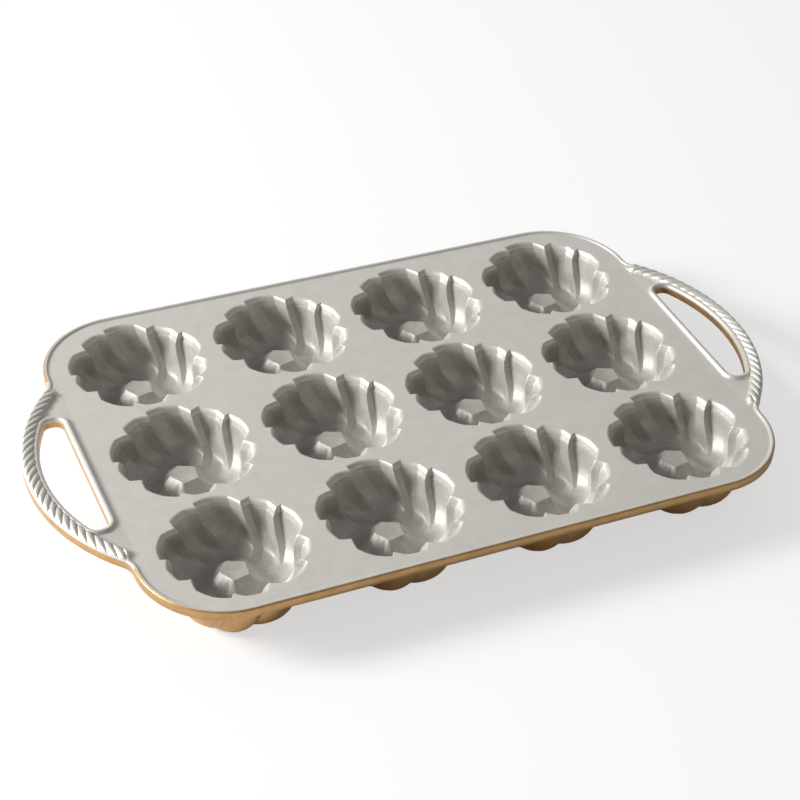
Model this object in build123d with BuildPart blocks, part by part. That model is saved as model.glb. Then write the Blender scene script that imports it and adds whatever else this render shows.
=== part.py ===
"""Mini fluted cake pan with twelve braided cups, a rounded deck and two open handles.

The real pan is one aluminium casting. It is built here as its named regions, which meet
face to face: deck plate, front and back edge, two handles, two rope mouldings, twelve cups.
Origin: middle of the footprint, at the level the cups stand on. +X along the length, +Z up.
"""
import os
from math import cos, radians, sin

from build123d import *

os.makedirs("parts", exist_ok=True)

# Cup grid, millimetres
columns = 4
rows = 3
pitch_x = 84.0
pitch_y = 79.4

# Deck, its edge and its level
deck_top = 33.5
plate = 3.0
body_length = 356.0
body_width = 253.0
body_corner = 46.0
edge_drop = 4.5
lip_rise = 2.0
lip_width = 5.0
lip_round = 1.8

# Handles: a bowed end with a D-shaped hole, and a rope moulding along the bow
bow_radius = 105.0
bow_centre = 104.5
bow_blend = 12.0
handle_inner = 173.0
handle_root = 79.0
hole_side = 179.0
hole_wall = 9.5
hole_half_length = 46.0
hole_corner = 5.0
hole_lip = 4.0
hole_lip_rise = 1.8
hole_lip_round = 1.2
rope_width = 7.5
rope_rise = 3.0
rope_shoulder = 1.0
rope_half_angle = 41.0
strands = 24
strand_length = 12.0
strand_width = 4.8
strand_lean = 54.5

# Braided cup: five folds, each of a narrow and a wide strand, winding clockwise downwards
folds = 5
cup_wall = 3.0
stand_radius = 25.0

# Centre post of each cup, hollow from below
post_top = 17.0
post_radius = 7.9
post_angle = 100.5
hollow_top_radius = 4.0
hollow_foot_radius = 14.0

# The six lines of one fold. Each stop is an angle in degrees, a radius and a depth below
# the deck: mouth, wall, floor of the ring, foot of the post.
crest = [
    (138, 33.2, 0), (136.2, 30.6, 3), (134.1, 29.5, 6), (130.4, 29.5, 12.5),
    (126.5, 29.3, 18), (122.0, 26.3, 23), (118.0, 19.0, 25.6), (115.0, 15.2, 24.0),
]
step_foot = [
    (132.5, 37.2, 0), (131.0, 33.4, 3), (127.6, 32.4, 6), (123.6, 32.0, 12.5),
    (119.6, 31.4, 18), (114.6, 30.4, 23), (107.0, 22.5, 28.8), (104.0, 16.8, 26.6),
]
narrow_valley = [
    (116, 37.9, 0), (115.0, 35.2, 3), (114.8, 33.9, 6), (113.0, 33.0, 12.5),
    (108.4, 31.6, 18), (102.4, 30.2, 23), (91.0, 22.5, 30.4), (88.5, 16.6, 28.2),
]
small_crest = [
    (105.5, 35.2, 0), (105.0, 32.9, 3), (104.6, 31.8, 6), (101.0, 30.1, 12.5),
    (95.8, 29.2, 18), (90.0, 28.2, 23), (79.0, 21.5, 28.4), (76.5, 16.2, 26.8),
]
wide_valley = [
    (92.0, 38.7, 0), (90.8, 36.2, 3), (89.0, 35.2, 6), (83.3, 34.6, 12.5),
    (77.2, 34.0, 18), (70.8, 32.8, 22.0), (61.5, 20.8, 24.2), (59.0, 15.6, 22.6),
]
wide_side = [
    (77.0, 36.8, 0), (75.6, 34.2, 3), (74.0, 33.2, 6), (69.2, 32.7, 12.5),
    (64.0, 32.2, 18), (59.4, 29.8, 22.3), (53.5, 20.0, 24.6), (50.5, 15.3, 23.0),
]
braid = (crest, step_foot, narrow_valley, small_crest, wide_valley, wide_side)
stops = len(crest)


def spot(angle, radius, depth):
    """A point of the cup from its angle, radius and depth below the deck."""
    turn = radians(angle)
    return (radius * cos(turn), radius * sin(turn), deck_top - depth)


def inner_ring(stop):
    """The closed ring that joins all lines of the braid at one stop."""
    return [
        spot(line[stop][0] - 360 / folds * fold, line[stop][1], line[stop][2])
        for fold in range(folds)
        for line in braid
    ]


def post_ring():
    """The post's flat top: points on a regular pentagon, one for each line of the braid."""
    half = 180 / folds
    ring = []
    for fold in range(folds):
        for line, lag in zip(braid, (0.0, 3.0, 14.0, 28.0, 50.5, 64.0)):
            reach = post_radius * cos(radians(half)) / cos(radians(lag - half))
            ring.append(spot(post_angle - lag - 360 / folds * fold, reach, post_top))
    return ring


def outer_ring(stop, depth):
    """The braid's ring at a stop, moved out by the wall's thickness and laid level."""
    return [
        spot(line[stop][0] - 360 / folds * fold, line[stop][1] + cup_wall, depth)
        for fold in range(folds)
        for line in braid
    ]


def stand_ring(radius, depth):
    """The ring a cup stands on: level and nearly round, turned on with the braid."""
    return [
        spot(line[-2][0] - 360 / folds * fold, radius, depth)
        for fold in range(folds)
        for line in braid
    ]


def faceted_solid(rings):
    """Closed solid of flat triangles between rings, with a flat face on both ends."""
    faces = [
        Face(Wire.make_polygon(rings[0], close=True)),
        Face(Wire.make_polygon(rings[-1], close=True)),
    ]
    for upper, lower in zip(rings, rings[1:]):
        for here in range(len(upper)):
            after = (here + 1) % len(upper)
            corner = (upper[here], upper[after], lower[here])
            faces.append(Face(Wire.make_polygon(corner, close=True)))
            corner = (upper[after], lower[after], lower[here])
            faces.append(Face(Wire.make_polygon(corner, close=True)))
    return Solid(Shell(faces))


# The hollow of one cup, from its mouth over the ring's floor up to the top of the post
with BuildPart() as hollow:
    add(faceted_solid([inner_ring(stop) for stop in range(stops)] + [post_ring()]))

# One cup below the deck plate
with BuildPart() as cup_form:
    wall_rings = [(1, plate), (3, 12.5), (4, 20.0), (5, 26.5)]
    rings = [outer_ring(stop, depth) for stop, depth in wall_rings]
    rings.append(stand_ring(stand_radius, deck_top))
    add(faceted_solid(rings))
    add(hollow.part, mode=Mode.SUBTRACT)
    hollow_height = deck_top - post_top - cup_wall
    with Locations((0, 0, hollow_height / 2)):
        Cone(hollow_foot_radius, hollow_top_radius, hollow_height, mode=Mode.SUBTRACT)

# Plan outline of the whole pan: rounded body with a bow at each end
with BuildSketch() as outline:
    RectangleRounded(body_length, body_width, body_corner)
    for side in (-1, 1):
        with BuildSketch(mode=Mode.PRIVATE) as bow:
            with Locations((side * bow_centre, 0)):
                Circle(bow_radius)
            with Locations((side * (bow_centre + bow_radius / 2), 0)):
                Rectangle(bow_radius, 2 * body_width, mode=Mode.INTERSECT)
        add(bow.sketch)
    joins = outline.vertices().filter_by(lambda v: abs(abs(v.X) - body_length / 2) < 0.01)
    joins = joins.filter_by(lambda v: abs(v.Y) < body_width / 2 - body_corner - 1.0)
    fillet(joins, bow_blend)

# The outline moved inwards by the edge's width and by the rope's width
with BuildSketch() as inside_edge:
    add(outline.sketch)
    offset(amount=-lip_width, kind=Kind.INTERSECTION)
with BuildSketch() as inside_rope:
    add(outline.sketch)
    offset(amount=-rope_width, kind=Kind.INTERSECTION)

# Area of one end that belongs to a handle
handle_reach = bow_centre + bow_radius - handle_inner
handle_middle = handle_inner + handle_reach / 2

# Deck plate with the twelve mouths
with BuildPart() as deck:
    with BuildSketch(Plane.XY.offset(deck_top - plate)):
        add(inside_edge.sketch)
        with Locations((handle_middle, 0), (-handle_middle, 0)):
            Rectangle(handle_reach, 2 * handle_root, mode=Mode.SUBTRACT)
    extrude(amount=plate)
    with GridLocations(pitch_x, pitch_y, columns, rows):
        add(hollow.part, mode=Mode.SUBTRACT)
deck.part.label = "deck"
export_step(deck.part, "parts/deck.step")

# Rolled edge along the front and the back, round the corners up to the handles
for name, side in (("edge_front", -1), ("edge_back", 1)):
    with BuildPart() as edge:
        with BuildSketch(Plane.XY.offset(deck_top - edge_drop)):
            add(outline.sketch)
            add(inside_edge.sketch, mode=Mode.SUBTRACT)
            with Locations((0, side * (handle_root + body_width / 2))):
                Rectangle(2 * body_length, body_width, mode=Mode.INTERSECT)
        extrude(amount=edge_drop + lip_rise)
        top = edge.faces().sort_by(Axis.Z)[-1]
        rounded = top.edges().filter_by(lambda e: abs(e.center().Y) > handle_root + 0.01)
        fillet(rounded, lip_round)
    edge.part.label = name
    export_step(edge.part, f"parts/{name}.step")

# D-shaped hand hole: straight side towards the cups, bowed side along the rope
with BuildSketch() as hand_hole:
    with Locations((bow_centre, 0)):
        Circle(bow_radius - hole_wall)
    with Locations((hole_side + bow_radius / 2, 0)):
        Rectangle(bow_radius, 2 * hole_half_length, mode=Mode.INTERSECT)
    corners = hand_hole.vertices().filter_by(lambda v: abs(v.Y) > hole_half_length - 0.1)
    fillet(corners, hole_corner)
with BuildSketch() as hole_rim:
    add(hand_hole.sketch)
    offset(amount=hole_lip, kind=Kind.INTERSECTION)

# Right handle plate with the raised lip round its hole
with BuildPart() as handle:
    with BuildSketch(Plane.XY.offset(deck_top - plate)):
        add(inside_rope.sketch)
        with Locations((handle_middle, 0)):
            Rectangle(handle_reach, 2 * handle_root, mode=Mode.INTERSECT)
        add(hand_hole.sketch, mode=Mode.SUBTRACT)
    extrude(amount=plate)
    with BuildSketch(Plane.XY.offset(deck_top - edge_drop)):
        add(hole_rim.sketch)
        add(inside_rope.sketch, mode=Mode.INTERSECT)
        add(hand_hole.sketch, mode=Mode.SUBTRACT)
        with Locations((handle_middle, 0)):
            Rectangle(handle_reach, 2 * handle_root, mode=Mode.INTERSECT)
    extrude(amount=edge_drop + hole_lip_rise)

# Right rope moulding: a low rounded band with slanting strands on it
rope_line = bow_radius - rope_width / 2
with BuildPart() as rope:
    with BuildSketch(Plane.XY.offset(deck_top - edge_drop)):
        add(outline.sketch)
        add(inside_rope.sketch, mode=Mode.SUBTRACT)
        with Locations((handle_middle, 0)):
            Rectangle(handle_reach, 2 * handle_root, mode=Mode.INTERSECT)
    extrude(amount=edge_drop + rope_shoulder)
    for strand in range(strands):
        share = (strand + 0.5) / strands * 2 - 1
        angle = radians(rope_half_angle * share)
        lean = angle - radians(strand_lean)
        spot = (bow_centre + rope_line * cos(angle), rope_line * sin(angle))
        along = (cos(lean), sin(lean), 0)
        for height, size in ((deck_top, 1.0), (deck_top + rope_rise, 0.42)):
            place = Plane(origin=(*spot, height), x_dir=along, z_dir=(0, 0, 1))
            with BuildSketch(place):
                Polygon(
                    (strand_length / 2 * size, 0),
                    (strand_length / 4 * size, strand_width / 2 * size),
                    (-strand_length / 4 * size, strand_width / 2 * size),
                    (-strand_length / 2 * size, 0),
                    (-strand_length / 4 * size, -strand_width / 2 * size),
                    (strand_length / 4 * size, -strand_width / 2 * size),
                    align=None,
                )
        loft(ruled=True)

# The left end mirrors the right end
for name, right_piece in (("handle", handle), ("rope", rope)):
    right_piece.part.label = f"{name}_right"
    export_step(right_piece.part, f"parts/{name}_right.step")
    with BuildPart() as left_piece:
        add(mirror(right_piece.part, about=Plane.YZ, mode=Mode.PRIVATE))
    left_piece.part.label = f"{name}_left"
    export_step(left_piece.part, f"parts/{name}_left.step")

# Twelve cups, row 1 at the front and column 1 at the left
for row in range(rows):
    for column in range(columns):
        across = (column - (columns - 1) / 2) * pitch_x
        back = (row - (rows - 1) / 2) * pitch_y
        with BuildPart() as cup:
            with Locations((across, back, 0)):
                add(cup_form.part)
        cup.part.label = f"cup_r{row + 1}c{column + 1}"
        export_step(cup.part, f"parts/cup_r{row + 1}c{column + 1}.step")
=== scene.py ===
import bpy
import numpy as np
from mathutils import Matrix, Vector
from mathutils.geometry import delaunay_2d_cdt


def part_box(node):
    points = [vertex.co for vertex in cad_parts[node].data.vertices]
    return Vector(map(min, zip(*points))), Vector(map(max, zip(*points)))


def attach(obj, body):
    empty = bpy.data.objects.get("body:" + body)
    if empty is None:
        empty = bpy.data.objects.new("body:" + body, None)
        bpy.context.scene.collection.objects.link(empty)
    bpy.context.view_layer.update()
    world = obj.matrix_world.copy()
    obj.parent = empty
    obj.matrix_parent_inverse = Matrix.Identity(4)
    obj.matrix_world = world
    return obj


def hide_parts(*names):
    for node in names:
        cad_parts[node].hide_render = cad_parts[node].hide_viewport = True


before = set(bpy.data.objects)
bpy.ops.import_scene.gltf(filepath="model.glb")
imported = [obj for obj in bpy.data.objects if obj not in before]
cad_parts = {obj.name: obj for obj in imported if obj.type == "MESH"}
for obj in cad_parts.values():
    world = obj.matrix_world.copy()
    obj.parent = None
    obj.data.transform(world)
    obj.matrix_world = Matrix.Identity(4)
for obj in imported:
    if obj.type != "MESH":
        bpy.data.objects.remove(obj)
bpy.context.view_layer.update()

# %% [markdown]
# # A cast pan for twelve braided ring cakes
# The real pan is one aluminium casting that stands on its twelve cups. It could be sculpted
# by hand, but its cups are all alike and its outline is all arcs and straights, so every
# surface below is a formula instead. Each is worked out in millimetres with numpy and put
# into a mesh in metres. The deck's level, its thickness and the spacing of the cups are read
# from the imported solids, so the two models can't drift apart.

# %% Units, levels and the cup grid
MM = 0.001
deck_low, deck_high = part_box("deck")
DECK = deck_high[2] / MM
PLATE = (deck_high[2] - deck_low[2]) / MM
first_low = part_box("cup_r1c1")[0]
last_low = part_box("cup_r3c4")[0]
COLUMNS, ROWS = 4, 3
PITCH_X = (last_low[0] - first_low[0]) / MM / (COLUMNS - 1)
PITCH_Y = (last_low[1] - first_low[1]) / MM / (ROWS - 1)
CUP_SPOTS = {
    f"cup_r{row + 1}c{column + 1}": (
        (column - (COLUMNS - 1) / 2) * PITCH_X,
        (row - (ROWS - 1) / 2) * PITCH_Y,
    )
    for row in range(ROWS)
    for column in range(COLUMNS)
}
print("deck level", round(DECK, 2), "mm, pitch", round(PITCH_X, 2), round(PITCH_Y, 2))

# %% [markdown]
# ## Meshes from arrays
# Nearly every piece here is a grid of points that closes on itself in one direction. Blender
# has primitives and modifiers for such shapes, but a grid from a formula keeps every point
# where the formula says. One helper joins rows of rings into quads. The other puts arrays
# into a mesh object, gives each face its material, parents the piece to the body's empty and
# hides the solid it stands for.

# %% Helpers that turn arrays into meshes
SHARP_ABOVE = 50.0


def ring_quads(rows, around, first=0):
    """Quads between rows of closed rings: ring j, point i is vertex first + j * around + i."""
    j, i = np.meshgrid(np.arange(rows - 1), np.arange(around), indexing="ij")
    after = (i + 1) % around
    base = first + j * around
    corners = (base + i, base + after, base + around + after, base + around + i)
    return np.stack(corners, axis=-1).reshape(-1, 4)


def make_piece(name, points, faces, coats, materials, node, normals=None):
    """A mesh object from points in millimetres and faces, standing for one solid node.

    coats holds each face's number in materials. normals holds one for each point or one for
    each face's corner. Without them, edges that turn by more than SHARP_ABOVE are sharp."""
    mesh = bpy.data.meshes.new(name)
    mesh.from_pydata((np.asarray(points) * MM).tolist(), [], [list(map(int, f)) for f in faces])
    for material in materials:
        mesh.materials.append(material)
    mesh.polygons.foreach_set("material_index", np.asarray(coats, dtype=np.int32))
    mesh.polygons.foreach_set("use_smooth", np.ones(len(mesh.polygons), dtype=bool))
    mesh.update()
    if normals is None:
        mesh.set_sharp_from_angle(angle=np.radians(SHARP_ABOVE))
    elif len(normals) == len(mesh.vertices):
        mesh.normals_split_custom_set_from_vertices(np.asarray(normals).tolist())
    else:
        mesh.normals_split_custom_set(np.asarray(normals).tolist())
    piece = bpy.data.objects.new(name, mesh)
    bpy.context.scene.collection.objects.link(piece)
    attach(piece, "root")
    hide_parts(node)
    return piece


print("mesh helpers ready, edges sharp above", SHARP_ABOVE, "degrees")

# %% [markdown]
# ## Finishes
# The casting has two baked coatings. On top is a light warm grey non-stick coating loaded
# with metal flake: it is satin, so walls that face the light shine and walls that face away
# go dark. In the cups it lies on sand-cast walls and is rougher, and there its colour is also
# painted darker, as shade in the hollows. Outside and below is a golden coating of the same
# kind. An image could be painted for each, but both coatings are sprayed, with a fine grain
# and faint clouds, and noise on Object coordinates gives that at any size.

# %% Coated metal
CLOUD_MM = 9.0
GRAIN_SHARE = 0.45
DARK_AT, LIGHT_AT = 0.36, 0.64
ROUGHNESS_SPREAD = 0.05


def linear(hex_colour):
    """Linear colour with alpha from sRGB hex: the standard curve, channel by channel."""
    channels = [int(hex_colour[k : k + 2], 16) / 255 for k in (1, 3, 5)]
    curve = [c / 12.92 if c <= 0.04045 else ((c + 0.055) / 1.055) ** 2.4 for c in channels]
    return (*curve, 1.0)


def add_node(tree, kind, settings=None, **inputs):
    """Adds a node, sets its properties, and fills or links its inputs by their names."""
    node = tree.nodes.new(kind)
    for key, value in (settings or {}).items():
        setattr(node, key, value)
    for key, value in inputs.items():
        socket = node.inputs[key.replace("_", " ")]
        if isinstance(value, bpy.types.NodeSocket):
            tree.links.new(value, socket)
        else:
            socket.default_value = value
    return node


def coated_metal(name, light, dark, metallic, roughness, grain_mm, grain_height):
    """Sprayed coating: faint clouds in the colour, metal grain in the bump and roughness."""
    material = bpy.data.materials.new(name)
    material.use_nodes = True
    tree = material.node_tree
    shader = tree.nodes["Principled BSDF"]
    shader.inputs["Metallic"].default_value = metallic
    place = add_node(tree, "ShaderNodeTexCoord").outputs["Object"]
    clouds = add_node(
        tree, "ShaderNodeTexNoise", Vector=place, Scale=1 / (CLOUD_MM * MM), Detail=3.0
    )
    grain = add_node(
        tree, "ShaderNodeTexNoise", Vector=place, Scale=1 / (grain_mm * MM), Detail=2.0
    )
    mixed = add_node(
        tree,
        "ShaderNodeMix",
        {"data_type": "FLOAT"},
        A=clouds.outputs["Fac"],
        B=grain.outputs["Fac"],
        Factor=GRAIN_SHARE,
    )
    tint = add_node(tree, "ShaderNodeValToRGB", Fac=mixed.outputs["Result"])
    for stop, place_on_ramp, colour in zip(
        tint.color_ramp.elements, (DARK_AT, LIGHT_AT), (dark, light)
    ):
        stop.position = place_on_ramp
        stop.color = linear(colour)
    rough = add_node(
        tree,
        "ShaderNodeMapRange",
        Value=grain.outputs["Fac"],
        To_Min=roughness - ROUGHNESS_SPREAD,
        To_Max=roughness + ROUGHNESS_SPREAD,
    )
    relief = add_node(
        tree,
        "ShaderNodeBump",
        Height=grain.outputs["Fac"],
        Strength=1.0,
        Distance=grain_height * MM,
    )
    tree.links.new(tint.outputs["Color"], shader.inputs["Base Color"])
    tree.links.new(rough.outputs["Result"], shader.inputs["Roughness"])
    tree.links.new(relief.outputs["Normal"], shader.inputs["Normal"])
    return material


print("clouds", CLOUD_MM, "mm across, grain's share of the colour", GRAIN_SHARE)

# %% Three coatings, the cups' one with painted shade
# The real flake is about 0.05 mm; it is drawn at the smallest size the picture can hold.
# Smooth metal flake under a clear binder: a wide soft shine, hardly any texture.
NONSTICK = coated_metal(
    "metal-flake non-stick on cast aluminium",
    light="#D6D3CC",
    dark="#CECBC4",
    metallic=0.5,
    roughness=0.46,
    grain_mm=0.8,
    grain_height=0.012,
)
# The same coating over the sand's texture: duller and grainy in low light. Its colour is also
# painted darker, as shade in the hollows of the cups.
GRAINY_WITH_PAINTED_SHADE = coated_metal(
    "metal-flake non-stick on sand-cast walls",
    light="#C6C3BC",
    dark="#AFACA5",
    metallic=0.4,
    roughness=0.53,
    grain_mm=0.9,
    grain_height=0.08,
)
# A coating with more metal in it, tinted golden: it takes its tone from what it mirrors.
GOLDEN = coated_metal(
    "golden non-stick on cast aluminium",
    light="#CBA472",
    dark="#B7905C",
    metallic=0.75,
    roughness=0.42,
    grain_mm=0.8,
    grain_height=0.02,
)
COATS = (NONSTICK, GOLDEN)
# The inside of each cup gets the copy whose colour is painted darker, as shade in the hollows.
CUP_COATS = (GRAINY_WITH_PAINTED_SHADE, GOLDEN)
GREY, GOLD = 0, 1
print("finishes", [material.name for material in (NONSTICK, GRAINY_WITH_PAINTED_SHADE, GOLDEN)])

# %% [markdown]
# ## The braid of one cup
# Five wide and five narrow strands wind clockwise as they go down the wall, cross the floor
# of the ring and climb the post to a flat five-sided top. Seven lines run the whole way along
# one fold: the crest between two folds, the foot of its step, the valley of the narrow
# strand, the small crest beside it, that crest's foot, and the valley and side of the wide
# strand. A mesh sculpted by hand would do, but lines given as angle, radius and depth keep
# all five folds the same.

# %% Lines of the braid
FOLDS = 5
FOLD = 360 / FOLDS
# Each line is a list of stations: angle in degrees, radius and depth below the deck in mm.
CREST = [
    (138, 33.2, 0), (136.2, 30.6, 3), (134.1, 29.5, 6), (130.4, 29.5, 12.5),
    (126.5, 29.3, 18), (122.0, 26.3, 22.8), (119.8, 23.0, 24.8), (118.0, 19.0, 25.2),
    (115.0, 15.2, 23.6), (107.5, 11.0, 20.2), (100.5, 7.9, 17),
]
STEP_FOOT = [
    (131.2, 38.3, 0), (130.6, 34.8, 3), (129.6, 33.4, 6), (126.2, 33.1, 12.5),
    (122.2, 32.5, 18), (117.0, 30.9, 22.8), (112.0, 28.0, 26.2), (108.0, 22.3, 27.6),
    (104.6, 16.6, 25.6), (101.0, 11.6, 21.2), (97.5, 7.75, 17),
]
NARROW_VALLEY = [
    (116, 38.1, 0), (115.0, 35.2, 3), (114.8, 33.9, 6), (113.0, 33.0, 12.5),
    (108.4, 31.8, 18), (102.4, 30.2, 23), (96.4, 27.6, 26.8), (91.5, 22.0, 28.4),
    (88.8, 16.4, 26.4), (87.5, 11.1, 21.8), (86.5, 6.85, 17),
]
SMALL_CREST = [
    (105.5, 35.4, 0), (105.0, 32.7, 3), (104.4, 31.5, 6), (100.8, 30.3, 12.5),
    (95.6, 29.4, 18), (90.0, 28.0, 22.8), (84.0, 26.0, 26.0), (79.0, 21.4, 27.2),
    (76.5, 16.0, 25.4), (74.5, 10.9, 21.2), (72.5, 6.45, 17),
]
SMALL_FOOT = [
    (104.6, 38.7, 0), (103.8, 36.1, 3), (103.0, 35.1, 6), (99.2, 34.3, 12.5),
    (93.8, 33.3, 18), (88.2, 31.2, 22.6), (82.4, 27.6, 25.6), (76.8, 21.6, 26.8),
    (72.2, 15.7, 25.0), (66.4, 10.8, 20.9), (61.0, 6.4, 17),
]
WIDE_VALLEY = [
    (92.0, 39.3, 0), (90.8, 36.8, 3), (89.6, 35.8, 6), (84.6, 34.9, 12.5),
    (79.0, 33.9, 18), (73.6, 31.5, 22.3), (68.8, 27.2, 24.9), (65.0, 21.2, 25.9),
    (61.0, 15.4, 23.9), (56.0, 10.7, 20.4), (50.0, 6.7, 17),
]
WIDE_SIDE = [
    (77.0, 38.1, 0), (75.6, 35.5, 3), (74.0, 34.5, 6), (69.4, 33.8, 12.5),
    (64.4, 32.8, 18), (59.8, 30.1, 22.2), (56.8, 25.8, 24.4), (53.5, 20.2, 25.4),
    (50.2, 15.2, 23.5), (43.5, 10.7, 20.2), (36.5, 7.6, 17),
]
BRAID_LINES = np.array(
    [CREST, STEP_FOOT, NARROW_VALLEY, SMALL_CREST, SMALL_FOOT, WIDE_VALLEY, WIDE_SIDE],
    dtype=float,
)
STATIONS = np.arange(BRAID_LINES.shape[1], dtype=float)
print("lines per fold", len(BRAID_LINES), "stations", len(STATIONS))

# %% [markdown]
# The lines become a surface in two steps. First, down the cup each line is a smooth curve
# through its stations. A curve object in Blender would do the same, but its handles can't be
# set for whole arrays at once. Where the wall meets the deck, the curve leaves level and
# rolls over, as the mould's edge is rounded there.

# %% Curves down the cup
MOUTH_REACH = 1.9


def cubic(t, start, start_slope, end, end_slope):
    """Cubic that leaves start and reaches end with the slopes given, for t from 0 to 1."""
    return (
        (2 * t**3 - 3 * t**2 + 1) * start
        + (t**3 - 2 * t**2 + t) * start_slope
        + (3 * t**2 - 2 * t**3) * end
        + (t**3 - t**2) * end_slope
    )


def smooth_steps(stations, values, places):
    """Cubic curve through values at stations, with each slope set by its two neighbours."""
    slopes = np.gradient(values, stations, axis=0)
    k = np.clip(np.searchsorted(stations, places, side="right") - 1, 0, len(stations) - 2)
    gap = (stations[k + 1] - stations[k])[:, None]
    t = (places[:, None] - stations[k][:, None]) / gap
    return cubic(t, values[k], slopes[k] * gap, values[k + 1], slopes[k + 1] * gap)


def braid_rows(places):
    """Angle, radius, depth of the seven lines at each place; the first step is the rolled mouth.

    Between stations 0 and 1 the curve is a cubic that leaves the deck level, with slope
    (change of angle, MOUTH_REACH times the change of radius, 0), and ends with the slope of
    the wall."""
    flat = BRAID_LINES.transpose(1, 0, 2).reshape(len(STATIONS), -1)
    rows = smooth_steps(STATIONS[1:], flat[1:], places).reshape(len(places), -1, 3)
    t = np.clip(places, 0, 1)[:, None, None]
    mouth, wall, below = BRAID_LINES[:, 0], BRAID_LINES[:, 1], BRAID_LINES[:, 2]
    rolled = cubic(t, mouth, (wall - mouth) * [1.0, MOUTH_REACH, 0.0], wall, below - wall)
    return np.where((places < 1)[:, None, None], rolled, rows)


print("lines at the deck, radius in mm", braid_rows(np.zeros(1))[0, :, 1])

# %% [markdown]
# Second, round the cup, neighbouring lines are joined by gently bulging chords whose samples
# crowd towards the lines, so the steps between strands stay crisp. A short running average
# then takes the last sharpness off the corners, as the coating does on the casting.

# %% Inner surface of the braid
CHORD_SAMPLES = (8, 11, 10, 8, 8, 9, 11)
# Each chord bulges by this share of its length; the share fades out over the last stations,
# where the post's faces are flat.
BULGE, BULGE_FADE = 0.045, 3


def braid_surface(places, rounding):
    """Points (row, sample, xyz) of the cup's inner surface, about the cup's own axis.

    Each fold is the one before turned by minus 72 degrees. A chord from line a to line b is
    a + (b - a) t, pushed outwards by a parabola 4 t (1 - t) times a share of its length."""
    rows = braid_rows(places)
    turns = np.arange(FOLDS) * FOLD
    angle = np.radians(rows[:, None, :, 0] - turns[None, :, None]).reshape(len(places), -1)
    radius = np.tile(rows[..., 1], (1, FOLDS))
    depth = np.tile(rows[..., 2], (1, FOLDS))
    corner = np.stack([radius * np.cos(angle), radius * np.sin(angle), -depth], axis=-1)
    following = np.roll(corner, -1, axis=1)
    fade = np.clip((STATIONS[-1] - places) / BULGE_FADE, 0, 1)[:, None, None]
    strips = []
    for line in range(corner.shape[1]):
        count = CHORD_SAMPLES[line % len(CHORD_SAMPLES)]
        t = (0.5 - 0.5 * np.cos(np.pi * np.arange(count) / count))[None, :, None]
        a, b = corner[:, line, None], following[:, line, None]
        chord = a + (b - a) * t
        length = np.linalg.norm((b - a)[..., :2], axis=-1, keepdims=True)
        outward = chord[..., :2] / np.linalg.norm(chord[..., :2], axis=-1, keepdims=True)
        chord[..., :2] += outward * BULGE * length * 4 * t * (1 - t) * fade
        strips.append(chord)
    points = np.concatenate(strips, axis=1)
    for _ in range(rounding):
        points = (np.roll(points, 1, 1) + 2 * points + np.roll(points, -1, 1)) / 4
    return points


def grid_normals(points):
    """Unit normals from the cross product of the differences along and across the rings."""
    around = np.roll(points, -1, 1) - np.roll(points, 1, 1)
    down = np.gradient(points, axis=0)
    normal = np.cross(around, down)
    return normal / np.maximum(np.linalg.norm(normal, axis=-1, keepdims=True), 1e-9)


# Rings from the deck over the roll, down the wall and over the floor, and up the post.
ROLL_ROWS, WALL_ROWS, POST_ROWS = 8, 68, 9
POST_FOOT, POST_STEP = STATIONS[-2], 0.12
CORNER_ROUNDING = 1
inner_places = np.concatenate(
    [
        np.linspace(0, 1, ROLL_ROWS, endpoint=False),
        np.linspace(1, POST_FOOT, WALL_ROWS),
        np.linspace(POST_FOOT + POST_STEP, STATIONS[-1], POST_ROWS),
    ]
)
inner = braid_surface(inner_places, CORNER_ROUNDING)
inner[ROLL_ROWS, :, 2] = -PLATE
inner_normals = grid_normals(inner)
AROUND = inner.shape[1]
# The samples run clockwise, so the normals come out pointing down; facing turns them up.
facing = 1 if inner_normals[..., 2].mean() > 0 else -1
print("cup surface", inner.shape[0], "rings of", AROUND, "points, facing", facing)

# %% [markdown]
# ## Cups
# Below the deck plate each cup is a closed shell. The inside is the braid, ending in the
# flat top of the post. Solidify could give it a wall, but the real wall's outside is softer
# than its inside. So the outside is the same braid with its strands averaged soft, pushed out
# by the wall's thickness and cut flat where the pan stands. It carries the golden coating.

# %% Outside, rim and post of one cup about its own axis
WALL = 3.0
SOFT_ROUNDING = 40
# The outside starts just under the joint with the deck and needs few rings, being soft.
OUTER_START, OUTER_ROWS = 1.25, 22
outer_places = np.concatenate(
    [np.linspace(OUTER_START, POST_FOOT, OUTER_ROWS), [POST_FOOT + 0.5, STATIONS[-1]]]
)
soft = braid_surface(outer_places, SOFT_ROUNDING)
away = grid_normals(soft)
away *= -np.sign(away[..., 2].mean())
outer = soft + away * WALL
# The lowest point is put this far under the floor and then cut flat, which makes the foot.
FOOT_PRESS = 0.4
outer[..., 2] *= (DECK + FOOT_PRESS) / -outer[..., 2].min()
outer[..., 2] = np.clip(outer[..., 2], -DECK, -PLATE)
rim = inner[ROLL_ROWS].copy()
rim_reach = np.linalg.norm(rim[:, :2], axis=-1, keepdims=True)
rim[:, :2] *= (rim_reach + WALL) / rim_reach
# The flat ends, on the post and in the hollow under it, are rings drawn in by these shares.
TOP_SHARES = (0.94, 0.6, 0.25)
top_rings = np.stack([inner[-1] * [share, share, 1] for share in TOP_SHARES])
under_rings = np.stack([outer[-1] * [share, share, 1] for share in TOP_SHARES])
post_top = BRAID_LINES[0, -1, 2]
print("post top", post_top, "mm below the deck, lowest point", round(outer[..., 2].min(), 2))

# %% [markdown]
# The shell is put together from rings, from the joint with the deck down the inside to the
# middle of the post, and from the same joint down the outside to the middle of the hollow.
# The normals come from the grid rather than from the flat quads, so the strands are smooth.


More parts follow.
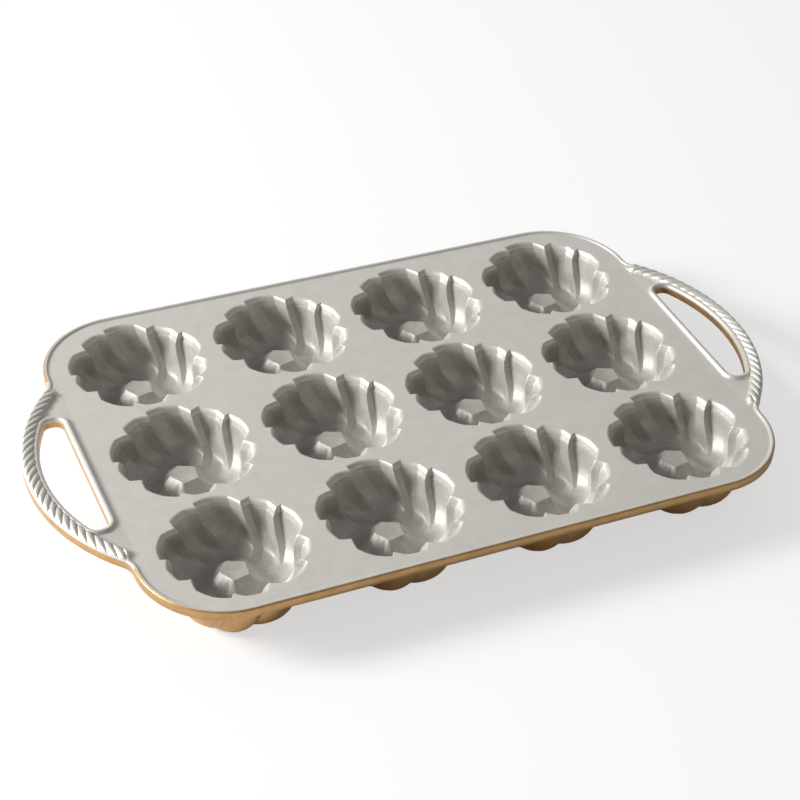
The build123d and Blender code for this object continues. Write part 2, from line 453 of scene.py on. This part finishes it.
# %% Mesh of one cup
def oriented(faces, keep):
    """The faces as they are, or with the corners of each in the opposite order."""
    return [tuple(face) if keep else tuple(face)[::-1] for face in faces]


def close_pole(ring_first, around, pole):
    """Triangles from a ring to one middle point, the way round the quads above it go."""
    return [(ring_first + i, ring_first + (i + 1) % around, pole) for i in range(around)]


inside = np.concatenate([inner[ROLL_ROWS:], top_rings])
inside_normals = np.concatenate(
    [inner_normals[ROLL_ROWS:] * facing, np.zeros_like(top_rings) + [0, 0, 1]]
)
outside = np.concatenate([rim[None], outer, under_rings])
outside_normals = -grid_normals(outside) * facing
outside_normals[0] = (0, 0, 1)
outside_normals[-len(under_rings) :] = (0, 0, -1)


def shell_parts():
    """Points, faces, coats and normals of one cup about its axis, depths as heights."""
    rows_in, rows_out = len(inside), len(outside)
    first_out = rows_in * AROUND
    pole_in = (rows_in + rows_out) * AROUND
    inner_faces = list(ring_quads(rows_in, AROUND))
    inner_faces += close_pole((rows_in - 1) * AROUND, AROUND, pole_in)
    outer_faces = list(ring_quads(rows_out, AROUND, first_out))
    outer_faces += close_pole(first_out + (rows_out - 1) * AROUND, AROUND, pole_in + 1)
    i = np.arange(AROUND)
    after = (i + 1) % AROUND
    outer_faces += list(np.stack([i, after, first_out + after, first_out + i], axis=-1))
    poles = [[0, 0, inside[-1, 0, 2]], [0, 0, outside[-1, 0, 2]]]
    points = np.concatenate([inside.reshape(-1, 3), outside.reshape(-1, 3), poles])
    normals = np.concatenate(
        [inside_normals.reshape(-1, 3), outside_normals.reshape(-1, 3), [[0, 0, 1], [0, 0, -1]]]
    )
    faces = oriented(inner_faces, facing > 0) + oriented(outer_faces, facing < 0)
    coats = [GREY] * len(inner_faces) + [GOLD] * len(outer_faces)
    return points, faces, coats, normals


shell_points, shell_faces, shell_coats, shell_normals = shell_parts()
print("cup mesh", len(shell_points), "points", len(shell_faces), "faces")

# %% [markdown]
# The twelve cups are one shell moved to twelve places. Instances would be lighter, but each
# cup is a part of its own in the solids, so each gets its own mesh with its place in it.

# %% Twelve cups
for node, (x, y) in CUP_SPOTS.items():
    make_piece(
        "braided_" + node,
        shell_points + [x, y, DECK],
        shell_faces,
        shell_coats,
        CUP_COATS,
        node,
        shell_normals,
    )
print("cups", len(CUP_SPOTS))

# %% [markdown]
# ## Plan outline
# Seen from above the pan is a rounded rectangle with a bow at each end. It could be drawn as
# a curve and offset, but every edge here runs parallel to it, so one function gives the
# outline moved inwards by any amount: each arc keeps its centre and only its radius changes.

# %% Outline
BODY_X, BODY_Y, CORNER = 178.0, 126.5, 46.0
CORNER_X, CORNER_Y = BODY_X - CORNER, BODY_Y - CORNER
BOW_X, BOW, BLEND = 104.5, 105.0, 12.0
BLEND_X = BODY_X + BLEND
BLEND_Y = np.sqrt((BOW + BLEND) ** 2 - (BLEND_X - BOW_X) ** 2)
TOUCH = np.degrees(np.arctan2(BLEND_Y, BLEND_X - BOW_X))
# Points on the back, the corner, the side, the blend into the bow, and half of the bow.
BACK_POINTS, CORNER_POINTS, SIDE_POINTS, BLEND_POINTS, BOW_POINTS = 24, 48, 3, 14, 220


def arc(centre, radius, start, end, count):
    """Points on an arc from one angle to another in degrees, the last one left out."""
    angle = np.radians(np.linspace(start, end, count, endpoint=False))
    return np.stack([centre[0] + radius * np.cos(angle), centre[1] + radius * np.sin(angle)], 1)


def straight(a, b, count):
    """Points from a towards b, the last one left out."""
    return np.linspace(a, b, count, endpoint=False)


def quarter_outline(inset):
    """Outline from the middle of the back, round the corner and the bow, to the right tip."""
    back, side = BODY_Y - inset, BODY_X - inset
    return np.concatenate(
        [
            straight((0, back), (CORNER_X, back), BACK_POINTS),
            arc((CORNER_X, CORNER_Y), CORNER - inset, 90, 0, CORNER_POINTS),
            straight((side, CORNER_Y), (side, BLEND_Y), SIDE_POINTS),
            arc((BLEND_X, BLEND_Y), BLEND + inset, 180, 180 + TOUCH, BLEND_POINTS),
            arc((BOW_X, 0), BOW - inset, TOUCH, 0, BOW_POINTS),
            [(BOW_X + BOW - inset, 0.0)],
        ]
    )


print("points on a quarter of the outline", len(quarter_outline(0.0)))

# %% [markdown]
# The top and the under side of the deck, and the plates of the handles, are flat with holes.
# A polygon with holes isn't one face in Blender, and Boolean cuts leave long thin faces that
# shade badly. A constrained triangulation keeps every point of the loops and nothing else.

# %% Flat fill with holes
WELD = 1e-6


def flat_fill(loops):
    """Triangles that fill a flat outline with holes; loops are arrays of plan points.

    Every point keeps its number. A triangle stays if a ray from its middle crosses the loops
    an odd number of times, so it lies inside the outline and outside the holes."""
    flat = np.concatenate(loops)
    starts = np.cumsum([0] + [len(loop) for loop in loops[:-1]])
    edges = [
        (int(start + k), int(start + (k + 1) % len(loop)))
        for start, loop in zip(starts, loops)
        for k in range(len(loop))
    ]
    corners = [Vector((float(x), float(y))) for x, y in flat]
    _, _, triangles, origins, _, _ = delaunay_2d_cdt(corners, edges, [], 0, WELD)
    triangles = np.array([[origins[corner][0] for corner in face] for face in triangles])
    middle = flat[triangles].mean(axis=1)
    a, b = flat[np.array(edges)[:, 0]], flat[np.array(edges)[:, 1]]
    crossings = np.zeros(len(middle), dtype=int)
    for number, (x, y) in enumerate(middle):
        spans = (a[:, 1] > y) != (b[:, 1] > y)
        p, q = a[spans], b[spans]
        at = p[:, 0] + (y - p[:, 1]) / (q[:, 1] - p[:, 1]) * (q[:, 0] - p[:, 0])
        crossings[number] = np.count_nonzero(at > x)
    kept = triangles[crossings % 2 == 1]
    side_a, side_b = flat[kept[:, 1]] - flat[kept[:, 0]], flat[kept[:, 2]] - flat[kept[:, 0]]
    turn = side_a[:, 0] * side_b[:, 1] - side_a[:, 1] * side_b[:, 0]
    return [tuple(face) if up > 0 else tuple(face)[::-1] for face, up in zip(kept, turn)]


unit_square = np.array([(0.0, 0.0), (1.0, 0.0), (1.0, 1.0), (0.0, 1.0)])
print("triangles in a square", len(flat_fill([unit_square])))

# %% [markdown]
# ## Deck
# The deck is a flat plate whose surface rolls over into every cup. The rolls are the first
# rows of the braid's own surface, so deck and cup share their normals where they meet and no
# seam shows. The flat top between them is one filled outline with twelve holes.

# %% Flat top and under side of the deck
LIP_WIDTH = 5.0
DECK_ARC_POINTS = 40
deck_loop = np.concatenate(
    [
        arc((x * CORNER_X, y * CORNER_Y), CORNER - LIP_WIDTH, start, start + 90, DECK_ARC_POINTS)
        for x, y, start in ((1, 1, 0), (-1, 1, 90), (-1, -1, 180), (1, -1, 270))
    ]
)
roll = inner[: ROLL_ROWS + 1]
spots = np.array(list(CUP_SPOTS.values()))
mouths = [roll[0, :, :2] + spot for spot in spots]
joints = [roll[-1, :, :2] + spot for spot in spots]
edge_count = len(deck_loop)
flat_count = edge_count + len(spots) * AROUND
top_faces = flat_fill([deck_loop] + mouths)
under_faces = [
    tuple(flat_count + corner for corner in face[::-1])
    for face in flat_fill([deck_loop] + joints)
]
i = np.arange(edge_count)
after = (i + 1) % edge_count
side_faces = oriented(np.stack([i, flat_count + i, flat_count + after, after], 1), True)
deck_points = [
    np.column_stack([np.concatenate([deck_loop] + mouths), np.full(flat_count, DECK)]),
    np.column_stack([np.concatenate([deck_loop] + joints), np.full(flat_count, DECK - PLATE)]),
]
deck_faces = top_faces + under_faces + side_faces
deck_coats = [GREY] * len(top_faces) + [GOLD] * (len(under_faces) + len(side_faces))
print("deck outline", edge_count, "points, flat faces", len(deck_faces))

# %% Rolls from the flat top into the cups
first_strip = len(deck_faces)
total = 2 * flat_count
i = np.arange(AROUND)
after = (i + 1) % AROUND
for number, (x, y) in enumerate(spots):
    deck_points.append((roll[1:-1] + [x, y, DECK]).reshape(-1, 3))
    top_ring = edge_count + number * AROUND
    ring_starts = [top_ring] + [total + row * AROUND for row in range(ROLL_ROWS - 1)]
    ring_starts.append(flat_count + top_ring)
    for upper, lower in zip(ring_starts, ring_starts[1:]):
        strip = np.stack([upper + i, upper + after, lower + after, lower + i], axis=-1)
        deck_faces += oriented(strip, facing > 0)
    total += (ROLL_ROWS - 1) * AROUND
deck_coats += [GREY] * (len(deck_faces) - first_strip)
print("deck", total, "points", len(deck_faces), "faces")

# %% Normals and mesh of the deck
roll_normals = inner_normals[: ROLL_ROWS + 1] * facing
roll_normals[0] = (0, 0, 1)
normals = np.concatenate(
    [
        np.tile([0.0, 0, 1], (flat_count, 1)),
        np.tile([0.0, 0, -1], (flat_count, 1)),
        np.tile(roll_normals[1:-1].reshape(-1, 3), (len(spots), 1)),
    ]
)
# The last ring of each roll lies on the under side, so its corners keep the roll's normals.
corners = np.concatenate(deck_faces)
corner_normals = normals[corners]
joint_normals = np.zeros((2 * flat_count, 3))
joint_normals[flat_count + edge_count :] = np.tile(roll_normals[-1], (len(spots), 1))
strip_corner = np.arange(len(corners)) >= sum(len(face) for face in deck_faces[:first_strip])
on_joint = strip_corner & (corners >= flat_count) & (corners < 2 * flat_count)
corner_normals[on_joint] = joint_normals[corners[on_joint]]
make_piece(
    "deck_plate",
    np.concatenate(deck_points),
    deck_faces,
    deck_coats,
    COATS,
    "deck",
    corner_normals,
)
print("corners that share a cup's normal", np.count_nonzero(on_joint))

# %% [markdown]
# ## Rolled edge
# Along the long sides and the corners the edge is one section carried along the outline: a
# golden wall outside and a low rounded bead on top. A Bevel on a curve could do it, but the
# section is then square to a path, and here each of its points has to follow its own parallel
# to the outline so that the edge meets the deck and the handles without a gap.

# %% Section and sweep
EDGE_DROP = 4.5
BEAD_WIDTH, BEAD_RISE = 3.2, 1.0
LIP_SAMPLES = 25
EASE_IN, EASE_UP = 0.25, 0.3
WALL_LEVELS = (-EDGE_DROP, EASE_UP - EDGE_DROP, -2.0, -0.6)


def lip_height(across, width, rise):
    """Height over a lip: a quarter ellipse up from the outside, then half a cosine down."""
    q = np.clip(2 * across / width - 1, -1, 1)
    outer_side = np.sqrt(np.maximum(0, 1 - q**2))
    inner_side = 0.5 + 0.5 * np.cos(np.pi * q)
    return rise * np.where(q < 0, outer_side, inner_side)


def section(width, rise_rows):
    """Ring of insets and heights for each row along a path, from outside over the top.

    rise_rows holds the height of the lip at LIP_SAMPLES places across, one row per place."""
    rows = len(rise_rows)
    across = np.linspace(0, 1, LIP_SAMPLES) * np.asarray(width).reshape(-1, 1)
    wall_insets = [EASE_IN] + [0.0] * (len(WALL_LEVELS) - 1)
    wall = np.tile(np.column_stack([wall_insets, WALL_LEVELS]), (rows, 1, 1))
    top = np.stack([np.broadcast_to(across, rise_rows.shape), rise_rows], axis=-1)
    foot = np.stack([top[:, -1, 0], np.full(rows, -EDGE_DROP)], axis=-1)[:, None]
    return np.concatenate([wall, top, foot], axis=1)


def sweep(path_of_inset, ring, gold_count, keep, name, node):
    """Closed solid from a ring of insets and heights at each place of an offset path.

    A point at an inset lies on the straight line from the path at inset 0 to the path at
    LIP_WIDTH. The first gold_count faces of each ring, from outside, are golden."""
    rows, around = ring.shape[:2]
    low = path_of_inset(0.0)
    spread = path_of_inset(LIP_WIDTH) - low
    plan = low[:, None] + spread[:, None] * (ring[..., 0] / LIP_WIDTH)[..., None]
    points = np.concatenate([plan, ring[..., 1:] + DECK], axis=-1).reshape(-1, 3)
    quads = ring_quads(rows, around)
    caps = [list(range(around))[::-1], list(range((rows - 1) * around, rows * around))]
    faces = oriented(quads, keep) + oriented(caps, keep)
    position = np.arange(len(quads)) % around
    golden = (position < gold_count) | (position >= around - 2)
    coats = list(np.where(golden, GOLD, GREY)) + [GOLD, GOLD]
    return make_piece(name, points, faces, coats, COATS, node)


print("edge", EDGE_DROP, "mm deep, bead", BEAD_WIDTH, "mm wide and", BEAD_RISE, "mm high")

# %% Front and back edge
HANDLE_ROOT = 79.0
EDGE_ROWS = BACK_POINTS + CORNER_POINTS + SIDE_POINTS + 1
# The golden coating wraps over the outside of the bead by this many faces of the section.
GOLD_OVER_BEAD = 4


def root_point(inset):
    """Where the handle's root line crosses the blend arc between body and bow."""
    reach = np.sqrt((BLEND + inset) ** 2 - (BLEND_Y - HANDLE_ROOT) ** 2)
    return (BLEND_X - reach, HANDLE_ROOT)


def edge_path(side):
    """Path of the back (side 1) or front (side -1) edge between the two handle roots."""

    def path(inset):
        kept = quarter_outline(inset)[: EDGE_ROWS + 1].copy()
        kept[-1] = root_point(inset)
        full = np.concatenate([kept[:0:-1] * [-1, 1], kept])
        return full * [1, side]

    return path


edge_across = np.linspace(0, LIP_WIDTH, LIP_SAMPLES)
edge_places = len(edge_path(1)(0.0))
edge_rise = np.tile(lip_height(edge_across, BEAD_WIDTH, BEAD_RISE), (edge_places, 1))
edge_ring = section(LIP_WIDTH, edge_rise)
edge_gold = len(WALL_LEVELS) + GOLD_OVER_BEAD
for side, node in ((1, "edge_back"), (-1, "edge_front")):
    sweep(edge_path(side), edge_ring, edge_gold, side > 0, "rolled_" + node, node)
print("edges of", edge_places, "rows")

# %% [markdown]
# ## Rope mouldings
# Along each bow the same section grows into a rope that is cast with the pan. Twisted strands
# could be modelled one by one, but on the casting only their tops show. So the height of the
# section is a round top times a ridge that repeats with the distance along, and the distance
# across shifts the ridges, which makes the strands cross the rope at a slant.

# %% Two ropes
ROPE_WIDTH, ROPE_RISE = 7.5, 3.0
# The strands are spaced so that STRANDS of them fill the bow to ROPE_SPAN degrees each way;
# the rope runs on to ROPE_END and swells to its full height over ROPE_FADE degrees.
STRANDS, ROPE_SPAN, ROPE_END, ROPE_FADE = 24, 41.0, 46.0, 4.0
STRAND_SLANT, GROOVE_SHARE, TOP_FULLNESS = 1.35, 0.42, 2.6
# Where the rope has faded out, it still covers the handle's plate by this much.
PLATE_COVER = 0.05


def rope_path(inset):
    """Path of the right rope from the back handle root round the bow to the front one."""
    quarter = quarter_outline(inset)[EDGE_ROWS:].copy()
    quarter[0] = root_point(inset)
    return np.concatenate([quarter, quarter[-2::-1] * [1, -1]])


rope_radius = BOW - ROPE_WIDTH / 2
plan = rope_path(ROPE_WIDTH / 2)
bow_angle = np.degrees(np.arctan2(plan[:, 1], plan[:, 0] - BOW_X))
along = np.radians(bow_angle) * rope_radius
pitch = np.radians(2 * ROPE_SPAN) * rope_radius / STRANDS
swell = np.clip((ROPE_END - np.abs(bow_angle)) / ROPE_FADE, 0, 1)
swell = (swell * swell * (3 - 2 * swell))[:, None]
share = np.linspace(0, 1, LIP_SAMPLES)[None]
width = LIP_WIDTH + (ROPE_WIDTH - LIP_WIDTH) * swell
across = share * width
plain = np.maximum(lip_height(across, BEAD_WIDTH, BEAD_RISE), PLATE_COVER)
round_top = ROPE_RISE * np.sqrt(np.maximum(0, 1 - np.abs(2 * share - 1) ** TOP_FULLNESS))
phase = (along[:, None] - STRAND_SLANT * (across - width / 2)) / pitch + 0.5
within = 2 * (phase - np.floor(phase)) - 1
ridge = np.sqrt(np.maximum(0, 1 - within**2))
strand = round_top * (GROOVE_SHARE + (1 - GROOVE_SHARE) * ridge)
rope_ring = section(width, plain * (1 - swell) + strand * swell)
for side, node in ((1, "rope_right"), (-1, "rope_left")):
    sweep(
        lambda inset, side=side: rope_path(inset) * [side, 1],
        rope_ring,
        len(WALL_LEVELS),
        side > 0,
        "moulded_" + node,
        node,
    )
print("ropes of", rope_ring.shape[0], "rows by", rope_ring.shape[1])

# %% [markdown]
# ## Handles
# Each handle is a plate with a D-shaped hole for the fingers, and a rounded lip about the
# hole as thick as the pan's edge. A Boolean cut and a Bevel could make it, but the lip's
# height varies across as the formula of the edge says. So the lip is a section carried round
# the hole's loop, and the plate is filled between the lip's outer loop and the rope.

# %% Loop of the hand hole
HOLE_SIDE, HOLE_BOW, HOLE_HALF, HOLE_ROUND = 179.0, 95.5, 46.0, 5.0
# Points on the hole's bow, its far and near corners, its straight side and its ends.
HOLE_BOW_POINTS, FAR_POINTS, NEAR_POINTS, HOLE_SIDE_POINTS, END_POINTS = 90, 14, 18, 40, 2


def hand_hole(grow):
    """D-shaped loop of the right hand hole moved outwards, counter-clockwise."""
    low, radius = HOLE_HALF - HOLE_ROUND, HOLE_ROUND + grow
    far_x = BOW_X + np.sqrt((HOLE_BOW - HOLE_ROUND) ** 2 - low**2)
    lean = np.degrees(np.arctan2(low, far_x - BOW_X))
    near_x, side, end = HOLE_SIDE + HOLE_ROUND, HOLE_SIDE - grow, HOLE_HALF + grow
    return np.concatenate(
        [
            arc((BOW_X, 0), HOLE_BOW + grow, -lean, lean, HOLE_BOW_POINTS),
            arc((far_x, low), radius, lean, 90, FAR_POINTS),
            straight((far_x, end), (near_x, end), END_POINTS),
            arc((near_x, low), radius, 90, 180, NEAR_POINTS),
            straight((side, low), (side, -low), HOLE_SIDE_POINTS),
            arc((near_x, -low), radius, 180, 270, NEAR_POINTS),
            straight((near_x, -end), (far_x, -end), END_POINTS),
            arc((far_x, -low), radius, -90, -lean, FAR_POINTS),
        ]
    )


print("hole points", len(hand_hole(0.0)))

# %% Handle plates
HOLE_LIP, HOLE_LIP_RISE, HOLE_LIP_SAMPLES, HOLE_EASE = 4.2, 1.8, 17, 0.3
HANDLE_INNER, UNDER_ROPE = 173.0, 3.0


def handle_points():
    """Points, faces and coats of the right handle.

    The rows of the lip run from the plate's under side down to the hole's foot, up the wall
    of the hole and over the lip. The plate's loop then appears twice, on top and below."""
    across = np.linspace(0, HOLE_LIP, HOLE_LIP_SAMPLES)
    heights = lip_height(across, HOLE_LIP, HOLE_LIP_RISE)
    wall_grows = [HOLE_LIP, HOLE_LIP, HOLE_EASE] + [0.0] * (len(WALL_LEVELS) - 1)
    grows = np.concatenate([wall_grows, across])
    levels = np.concatenate([[-PLATE, -EDGE_DROP], WALL_LEVELS, heights])
    loops = [hand_hole(grow) for grow in grows]
    around = len(loops[0])
    rows = [np.column_stack([loop, np.full(around, z)]) for loop, z in zip(loops, levels)]
    hole_faces = oriented(ring_quads(len(rows), around), False)
    gold_faces = (len(wall_grows) - 1) * around
    root_corners = [(HANDLE_INNER, HANDLE_ROOT), (HANDLE_INNER, -HANDLE_ROOT)]
    plate_loop = np.concatenate([rope_path(UNDER_ROPE)[::-1], root_corners])
    count, first = len(plate_loop), len(rows) * around
    fill = flat_fill([plate_loop, hand_hole(HOLE_LIP)])
    upper_ids = [*range(first, first + count), *range(first - around, first)]
    lower_ids = [*range(first + count, first + 2 * count), *range(around)]
    i = np.arange(count)
    side = np.stack([i, count + i, count + (i + 1) % count, (i + 1) % count], 1) + first
    faces = hole_faces + [tuple(upper_ids[k] for k in face) for face in fill]
    faces += [tuple(lower_ids[k] for k in face[::-1]) for face in fill]
    faces += oriented(side, True)
    coats = [GOLD] * gold_faces + [GREY] * (len(hole_faces) - gold_faces + len(fill))
    coats += [GOLD] * (len(fill) + count)
    plate = [np.column_stack([plate_loop, np.full(count, level)]) for level in (0.0, -PLATE)]
    return np.concatenate(rows + plate) + [0, 0, DECK], faces, coats


points, faces, coats = handle_points()
for side, node in ((1, "handle_right"), (-1, "handle_left")):
    make_piece(
        "open_" + node,
        points * [side, 1, 1],
        oriented(faces, side > 0),
        coats,
        COATS,
        node,
    )
print("handle", len(points), "points")

# %% [markdown]
# ## Floor
# The pan stands on white paper that nearly burns out round it, while its soft shadow stays.
# Stronger light would whiten the paper but burn out the pan as well. So the paper is a plain
# flat sheet, and only for rays from the camera it is darker and gives off light of its own.
# Seen by the pan from above, it is ordinary matt white paper.

# %% White paper
FLOOR = 6.0
PAPER_ROUGHNESS = 0.9
PAPER, PAPER_SEEN, FLOOR_LIFT = "#F6F6F6", "#A0A0A0", 0.61
floor_paint = bpy.data.materials.new("matt white studio paper")
floor_paint.use_nodes = True
paper_tree = floor_paint.node_tree
seen = add_node(paper_tree, "ShaderNodeLightPath").outputs["Is Camera Ray"]
tone = add_node(
    paper_tree,
    "ShaderNodeMapRange",
    Value=seen,
    To_Min=linear(PAPER)[0],
    To_Max=linear(PAPER_SEEN)[0],
)
glow = add_node(paper_tree, "ShaderNodeMapRange", Value=seen, To_Min=0.0, To_Max=FLOOR_LIFT)
paper_shader = paper_tree.nodes["Principled BSDF"]
paper_shader.inputs["Roughness"].default_value = PAPER_ROUGHNESS
paper_shader.inputs["Emission Color"].default_value = linear("#FFFFFF")
paper_tree.links.new(tone.outputs["Result"], paper_shader.inputs["Base Color"])
paper_tree.links.new(glow.outputs["Result"], paper_shader.inputs["Emission Strength"])
floor_mesh = bpy.data.meshes.new("floor")
floor_mesh.from_pydata(
    [(-FLOOR, -FLOOR, 0), (FLOOR, -FLOOR, 0), (FLOOR, FLOOR, 0), (-FLOOR, FLOOR, 0)],
    [],
    [(0, 1, 2, 3)],
)
floor_mesh.materials.append(floor_paint)
floor = bpy.data.objects.new("floor", floor_mesh)
bpy.context.scene.collection.objects.link(floor)
print("floor", 2 * FLOOR, "m wide")

# %% [markdown]
# ## Light
# The cups are dark on their left and bright on their right, with shadows that keep some edge.
# A sun would make them too hard, so a small square lamp stands low on the left. A large weak
# one behind brightens the far rims, and an even world gives the rest of the pale room.

# %% Two lamps and the room
AIM = (0, 0, 0.02)
ROOM_STRENGTH = 0.25


def lamp(name, place, size, watts):
    """Square area lamp at a place, turned towards the pan."""
    light = bpy.data.lights.new(name, "AREA")
    light.size = size
    light.energy = watts
    lamp_object = bpy.data.objects.new(name, light)
    lamp_object.location = place
    direction = Vector(AIM) - Vector(place)
    lamp_object.rotation_euler = direction.to_track_quat("-Z", "Y").to_euler()
    bpy.context.scene.collection.objects.link(lamp_object)


lamp("window left", (-1.68, 0.5, 0.92), 0.6, 60)
lamp("bright wall behind", (0.75, 1.6, 1.35), 2.4, 8)
world = bpy.data.worlds.new("pale room")
world.use_nodes = True
room = world.node_tree.nodes["Background"]
room.inputs["Color"].default_value = linear("#FFFFFF")
room.inputs["Strength"].default_value = ROOM_STRENGTH
bpy.context.scene.world = world
print("lamps", [light.name for light in bpy.data.lights], "room", ROOM_STRENGTH)

# %% [markdown]
# ## Camera
# The camera was worked out from where the middles of the twelve equal cups lie in the
# photograph, as a pinhole with no lens faults. A constraint could aim it at the pan, but the
# turn that was found also holds its tilt. It is given as an axis whose length is the angle.

# %% Camera fitted to the cups
# The place is in mm about the middle of the deck. The pinhole's y runs down the picture and
# its z forwards; a Blender camera's run up and back, so both are turned round.
CAMERA_PLACE = (-361.4, -765.2, 655.3)
TURN_VECTOR = (2.20279, -0.42929, 0.26732)
FOCAL_PIXELS, FRAME_PIXELS, SENSOR_MM = 1964.4, 800, 36.0
turn = Matrix.Rotation(Vector(TURN_VECTOR).length, 3, Vector(TURN_VECTOR).normalized())
frame_axes = Matrix((turn[0], -turn[1], -turn[2])).transposed().to_4x4()
place = Vector(CAMERA_PLACE) * MM + Vector((0, 0, DECK * MM))
camera_data = bpy.data.cameras.new("camera")
camera_data.sensor_width = SENSOR_MM
camera_data.lens = FOCAL_PIXELS / FRAME_PIXELS * SENSOR_MM
camera = bpy.data.objects.new("camera", camera_data)
camera.matrix_world = Matrix.Translation(place) @ frame_axes
scene = bpy.context.scene
scene.collection.objects.link(camera)
scene.camera = camera
scene.view_settings.view_transform = "Standard"
print("camera lens", round(camera_data.lens, 1), "mm at", [round(v, 3) for v in place])

# %% [markdown]
# The finished model has to fill the same box as the solids. At the end the view layer is
# brought up to date.

bpy.context.view_layer.update()
